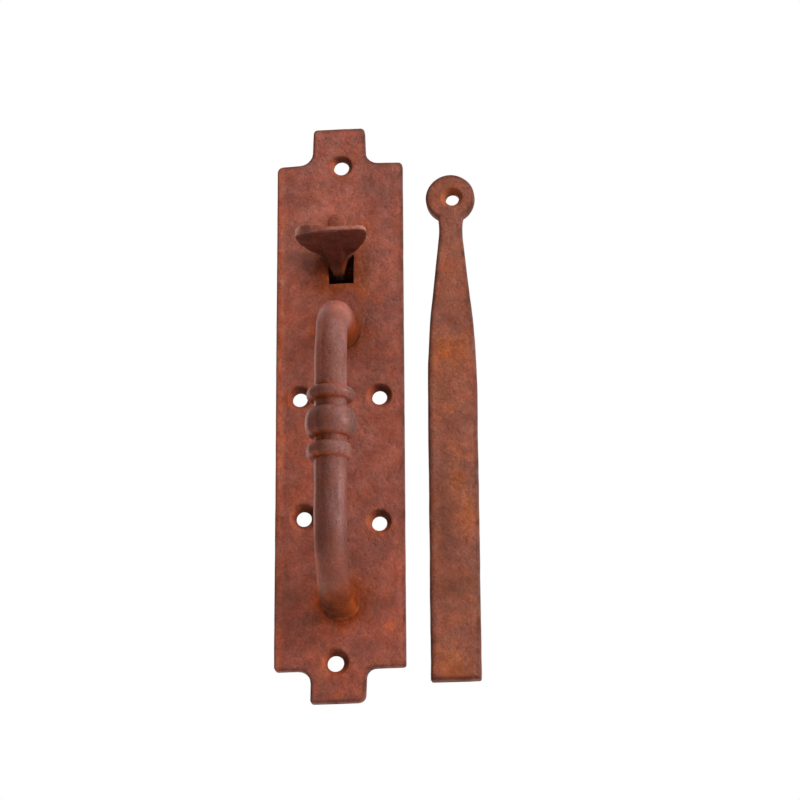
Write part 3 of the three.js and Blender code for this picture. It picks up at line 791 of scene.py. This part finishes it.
# Its flat width draws in to a neck and ends in a round eye with the screw's bore. A bloom is the
# centre, reach across and along, and strength of a place where its rust is brightest.
barLow, barHigh = boxInMm("latch_bar")
barSizes = dict(x=44.4, boreX=45.2, boreZ=85.8, bore=2.65, sink=1.7, eyeZ=86.2, eyeRadius=9.75,
                eyeJoin=0.55, neckZ=71, neckRun=4.5, halfNeck=4.5, flare=0.5, fullZ=20, fade=15.5,
                halfFull=9.6, shrink=1.3, bottom=barLow.z, front=barLow.y, corner=1, edge=1.1,
                soften=0.25, grid=1.5, waves=(22, 0.3), dents=(6, 0.09),
                blooms=[(43, 22, 9, 8, 0.75), (46, -33, 5, 6, 0.6), (50, -46, 4, 8, 0.6),
                        (42, -108, 8, 9, 0.55)],
                patches=[(41, -50, 5, 15, -0.8), (45, -75, 10, 5, -1), (41, 3, 4, 8, -0.6),
                         (41, -33, 4, 9, -0.4), (44, -108, 9, 6, -0.25), (52.5, 0, 2.5, 40, 0.5),
                         (49, 79, 3.5, 6, 0.7), (40, 75, 3, 4, 0.8)])


def barOutline(sizes):
    # its right side from the bottom up to the eye, then round the eye, then mirrored down the left
    full, taper = sizes["halfFull"], sizes["halfFull"] - sizes["shrink"]
    wide, thin = sizes["halfNeck"] + sizes["flare"], sizes["halfNeck"] - sizes["flare"]
    low, fullZ, fade = sizes["bottom"], sizes["fullZ"], sizes["fade"]
    neckZ, neckRun = sizes["neckZ"], sizes["neckRun"]
    eyeZ, radius, join = sizes["eyeZ"], sizes["eyeRadius"], sizes["eyeJoin"]
    joinX, joinZ = radius * math.sin(join), eyeZ - radius * math.cos(join)
    right = quadratic((full - sizes["corner"], low), (full, low), (full, low + sizes["corner"]), 4)
    right += quadratic((full, fullZ - fade), (full, fullZ), (taper, fullZ + fade), 8)
    right += quadratic((wide, neckZ - neckRun), (thin, neckZ + neckRun - 1), (joinX, joinZ), 8)
    steps = 24
    eye = []
    for i in range(1, steps):
        angle = join - math.pi / 2 + (math.pi - join) * i / steps
        eye.append((radius * math.cos(angle), eyeZ + radius * math.sin(angle)))
    side = right + eye
    top = [(0, eyeZ + radius)]
    left = [(-x, z) for x, z in reversed(side)]
    return [(x + sizes["x"], z) for x, z in side + top + left]


def markBar(bm, sizes, outline):
    def scaleAndShade(co):
        # dark scale along the edges, and painted shade on the upper right of the countersink and inside the
        # bore
        fromBore = math.hypot(co.x - sizes["boreX"], co.z - sizes["boreZ"]) - sizes["bore"]
        shade = shadySide(co, sizes["boreX"], sizes["boreZ"], sizes["bore"], sizes["sink"])
        inBore = co.y - sizes["front"] - sizes["sink"] if fromBore < 1 else 0
        return max(1.7 - depthInside(outline, co), 0.8 * shade, inBore)

    def bloomed(co):
        # round the bore and in a few places along it
        ring = 0.8 - (math.hypot(co.x - sizes["boreX"], co.z - sizes["eyeZ"]) - sizes["bore"]) / 4
        return max([ring] + [strength * (1.4 - math.hypot((co.x - x) / wide, (co.z - z) / tall))
                             for x, z, wide, tall, strength in sizes["blooms"]])

    mark(bm, "edge", scaleAndShade)
    mark(bm, "hollow", bloomed)
    mark(bm, "rub", lambda co: 0.4)
    # the tone's dull part is painted shade on faces inside the bore and behind
    markTone(bm, sizes["patches"], lambda co: 0.5 * (co.y + 1.6))


def makeBar(sizes):
    bm = slabFrom(barOutline(sizes), sizes["front"], 0)
    outline = frontOutline(bm, sizes["front"])
    wearFrontEdges(bm, sizes["front"], sizes["edge"])
    tool = bmesh.new()
    screwHoleTool(tool, sizes["boreX"], sizes["boreZ"], sizes["bore"], sizes["sink"], sizes["front"])
    bm = boolean(bm, tool)
    bm = softenEdges(bm, sizes["soften"], angle=35)
    gridCuts(bm, sizes["grid"])
    markBar(bm, sizes, outline)
    hammer(bm, sizes["waves"], seed=12.9, along=(0.4, 1, 0.4))
    hammer(bm, sizes["dents"], seed=2.3)
    keepInside(bm, barLow, barHigh)
    finishPiece("latchBar", bm, "bar", barRust, ["latch_bar"])


makeBar(barSizes)


# Thumb lift: press, keel, hub and tail in one forging

# Sections of the press run from its front edge to the slot: place in y, half widths left and
# right, top, underside left and right, lowest point. The left wing is the broader and thicker.
# Sections of the tail behind it are place in y, half width, top and lowest point.
liftSizes = dict(x=0.5, keelLeft=3.5, keelRight=1.1, keelLow=55.2, slopeLeft=0.38, slopeRight=0.22,
                 soft=0.9, curl=1.2, curled=-20, hub=4.4, hubHalf=5.3, pinY=6, pinZ=59.6, pinRadius=2,
                 play=0.2, levels=2, dents=(9, 0.2))
pressSections = [(-34.7, 5.5, 9.8, 63.5, 61.5, 62.0, 61.4), (-34.2, 10.5, 12.0, 63.9, 60.8, 61.6, 60.9),
                 (-33, 14.2, 13.1, 64.1, 60.3, 61.4, 60.7), (-30.5, 15.0, 13.4, 64.1, 60.2, 61.2, 60.5),
                 (-27, 14.6, 13.1, 63.9, 60.2, 61.0, 60.3), (-22.5, 13.8, 11.6, 63.7, 60.3, 60.9, 60.1),
                 (-18, 12.6, 9.8, 63.7, 60.6, 61.0, 59.9), (-14, 11.2, 8.2, 63.9, 61.0, 61.3, 59.3),
                 (-10, 9.8, 6.7, 64.3, 61.6, 61.8, 58.2), (-6.8, 8.8, 5.7, 64.9, 62.1, 62.3, 56.8),
                 (-5.0, 8.3, 5.2, 65.3, 62.4, 62.6, 55.8), (-4.6, 7.9, 5.0, 65.4, 62.5, 62.7, 55.7),
                 (-4.4, 4.6, 4.5, 65.4, 62.6, 62.8, 55.6), (-2, 4.65, 4.65, 65.8, 62.8, 62.8, 55.2),
                 (1.5, 4.65, 4.65, 65.7, 62.8, 62.8, 55.3)]
tailSections = [(7, 4.2, 65.0, 56.0), (12, 3, 64.2, 55.3), (20, 3, 62.7, 54.7), (30, 3, 61.4, 54.2),
                (40, 3, 60.7, 54.1), (50, 3, 60.4, 54.4), (60, 3, 60.5, 55.1), (66, 2.9, 60.4, 55.7),
                (67.6, 2.2, 59.6, 56.5)]


def pressRing(sizes, y, left, right, top, underLeft, underRight, low):
    soft = sizes["soft"]

    def flank(half, under, keelHalf, slope):
        root = min(keelHalf + (under - sizes["keelLow"]) * slope, half - 1.2 * soft)
        keel = min(keelHalf + (low - sizes["keelLow"]) * slope, root)
        return [(0.55 * half, top - 0.04 * half), (half - soft, top), (half, top - soft),
                (half, under + 0.4 * soft), (half - 0.6 * soft, under), (root, under - 0.1),
                (keel, low + 0.6 * soft), (keel - 0.5 * soft, low)]

    rightSide = flank(right, underRight, sizes["keelRight"], sizes["slopeRight"])
    leftSide = []
    for x, z in reversed(flank(left, underLeft, sizes["keelLeft"], sizes["slopeLeft"])):
        curls = z > (top + underLeft) / 2 and y < sizes["curled"]  # the left wing's top turns up in front
        leftSide.append((-x, z + sizes["curl"] * (x / left) ** 2 if curls else z))
    points = [(0, top - 0.06 * right)] + rightSide + [(0, low)] + leftSide
    return [Vector((sizes["x"] + x, y, z)) for x, z in points]


def tailRing(sizes, y, half, top, low):
    centre = (top + low) / 2
    heights = [(0.5, top), (0.85, top), (1, top - 0.6), (1, centre + 1), (1, centre), (1, centre - 1),
               (1, low + 0.6), (0.85, low)]
    rightSide = [(half * share, z) for share, z in heights]
    points = [(0, top)] + rightSide + [(0, low)] + [(-x, z) for x, z in reversed(rightSide)]
    return [Vector((sizes["x"] + x, y, z)) for x, z in points]


def markLift(bm, sizes):
    def leftEdge(y):
        # x of the press's left edge at this place along it
        for after, before in zip(pressSections[1:], pressSections):
            if y <= after[0]:
                share = (y - before[0]) / (after[0] - before[0])
                return sizes["x"] - before[1] - (after[1] - before[1]) * max(share, 0)
        return sizes["x"] - pressSections[-1][1]

    def lowFront(x):
        # the front face's lower arris, which drops on the left wing
        return 61.7 - limited((-4 - x) / 6)

    def rubbed(co):
        # the front edge, more to the right, and its left corner, and the left wing's lower arris: wear from
        # thumbs, and painted light on the front's right part, the corner and the arris
        corner = max(0.4 + (co.x + 1) / 4, 1.2 * (-11.5 - co.x), 0.35)
        front = min(corner, (co.z - lowFront(co.x)) * 2)
        arris = min(1.6 - (co.x - leftEdge(co.y)), (co.y + 24) / 4, (-5 - co.y) / 2)
        return max(front, arris)

    def beneath(co):
        # painted shade on the press's underside
        return min((lowFront(co.x) + 0.5 - co.z) * 2, (co.y + 34.6) * 2, (-5 - co.y) / 3) * 0.85

    def scaleAndShade(co):
        # painted shade underneath, and in the slot and behind the plate
        return max(min(beneath(co), 1 - rubbed(co)), (co.y + 3.2) / 2)

    def bloomed(co):
        # on the right of the keel, towards its root
        return min((co.x - 0.9) / 0.8, (61.2 - co.z) / 2.5, (co.y + 14) / 6)

    def shaded(co):
        # painted shade on the front's left part beside the corner, and darker near the slot
        paintedShadePatch = min(1.2 - abs(co.x + 9.3) / 2, (-31 - co.y) / 2)
        return max(paintedShadePatch, (co.y + 15) / 8)

    def paler(co):
        # painted highlight on the left arris and the left corner
        arris = min(1.4 - (co.x - leftEdge(co.y)), (co.y + 26) / 4, (-5 - co.y) / 2)
        return max(arris, min(-11.5 - co.x, (-30 - co.y) / 2))

    mark(bm, "rub", rubbed)
    mark(bm, "hollow", bloomed)
    mark(bm, "edge", scaleAndShade)
    mark(bm, "dim", shaded)
    mark(bm, "pale", paler)


def makeLift(sizes):
    bm = bmesh.new()
    rings = [pressRing(sizes, *section) for section in pressSections]
    rings += [tailRing(sizes, *section) for section in tailSections]
    loops = []
    for ring in rings:
        verts = [bm.verts.new(point) for point in ring]
        loops.append([bm.edges.new((a, b)) for a, b in zip(verts, verts[1:] + verts[:1])])
    for first, second in zip(loops, loops[1:]):
        bmesh.ops.bridge_loops(bm, edges=first + second)
    bmesh.ops.holes_fill(bm, edges=loops[0] + loops[-1], sides=0)
    bmesh.ops.recalc_face_normals(bm, faces=bm.faces)
    thing = newObject("work", bm)
    smooth = thing.modifiers.new("smooth", "SUBSURF")
    smooth.levels = smooth.render_levels = sizes["levels"]
    bm = applied(thing)
    hammer(bm, sizes["dents"], seed=6.1)
    pin = Vector((sizes["x"], sizes["pinY"], sizes["pinZ"]))
    hub = bmesh.new()
    turn(hub, rodProfile(sizes["hub"], sizes["hubHalf"]), pin, across, 40)
    bm = boolean(bm, hub, "UNION")
    bore = bmesh.new()
    turn(bore, rodProfile(sizes["pinRadius"] + sizes["play"], sizes["hubHalf"] + 1), pin, across, 32)
    bm = boolean(bm, bore)
    markLift(bm, sizes)
    finishPiece("thumbLift", bm, "lift", liftRust, ["thumb_lift"])


makeLift(liftSizes)


# Saddle, pin and rivets behind the slot

def softenedCopy(name, node, width, body, material):
    # the CAD part with its edges softened, for the plain pieces
    bm = bmesh.new()
    bm.from_mesh(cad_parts[node].data)
    bmesh.ops.scale(bm, vec=(1 / mm, 1 / mm, 1 / mm), verts=bm.verts)
    bmesh.ops.remove_doubles(bm, verts=bm.verts, dist=1e-3)
    bmesh.ops.dissolve_limit(bm, angle_limit=math.radians(1), verts=bm.verts, edges=bm.edges)
    bm = softenEdges(bm, width)
    mark(bm, "hollow", lambda co: 0.2)
    mark(bm, "rub", lambda co: 0.3)
    finishPiece(name, bm, body, material, [node])


softenedCopy("pivotSaddle", "pivot_bracket", 0.4, "plate", innerRust)
softenedCopy("pivotPin", "pivot_pin", 0.2, "plate", innerRust)

# a low hammered head in front and a rounder one behind the saddle: radius and place in y
topRivet = dict(x=-1.1, z=77.7, head=3.7, rise=1.0, shank=1.7, dents=(3, 0.12),
                rearHead=[(2.9, 1.6), (2.8, 2.0), (2.3, 2.5), (1.3, 2.75), (0, 2.8)])


def makeTopRivet(sizes):
    front = plateSizes["front"]
    profile = []
    for angle in (1.571, 1.1, 0.7, 0.35, 0):  # radians, from the head's top to its rim
        profile.append((sizes["head"] * math.cos(angle), front - sizes["rise"] * math.sin(angle)))
    profile += [(sizes["shank"], front), (sizes["shank"], sizes["rearHead"][0][1])] + sizes["rearHead"]
    bm = bmesh.new()
    turn(bm, profile, Vector((sizes["x"], 0, sizes["z"])), inward, 40)
    mark(bm, "hollow", lambda co: 0.35)
    mark(bm, "rub", lambda co: 0.5)
    hammer(bm, sizes["dents"], seed=4.4)
    finishPiece("saddleRivetTop", bm, "plate", plateRust, ["bracket_rivet_top"])


makeTopRivet(topRivet)
softenedCopy("saddleRivetBottom", "bracket_rivet_bottom", 0.2, "plate", plateRust)

print("pieces ready")
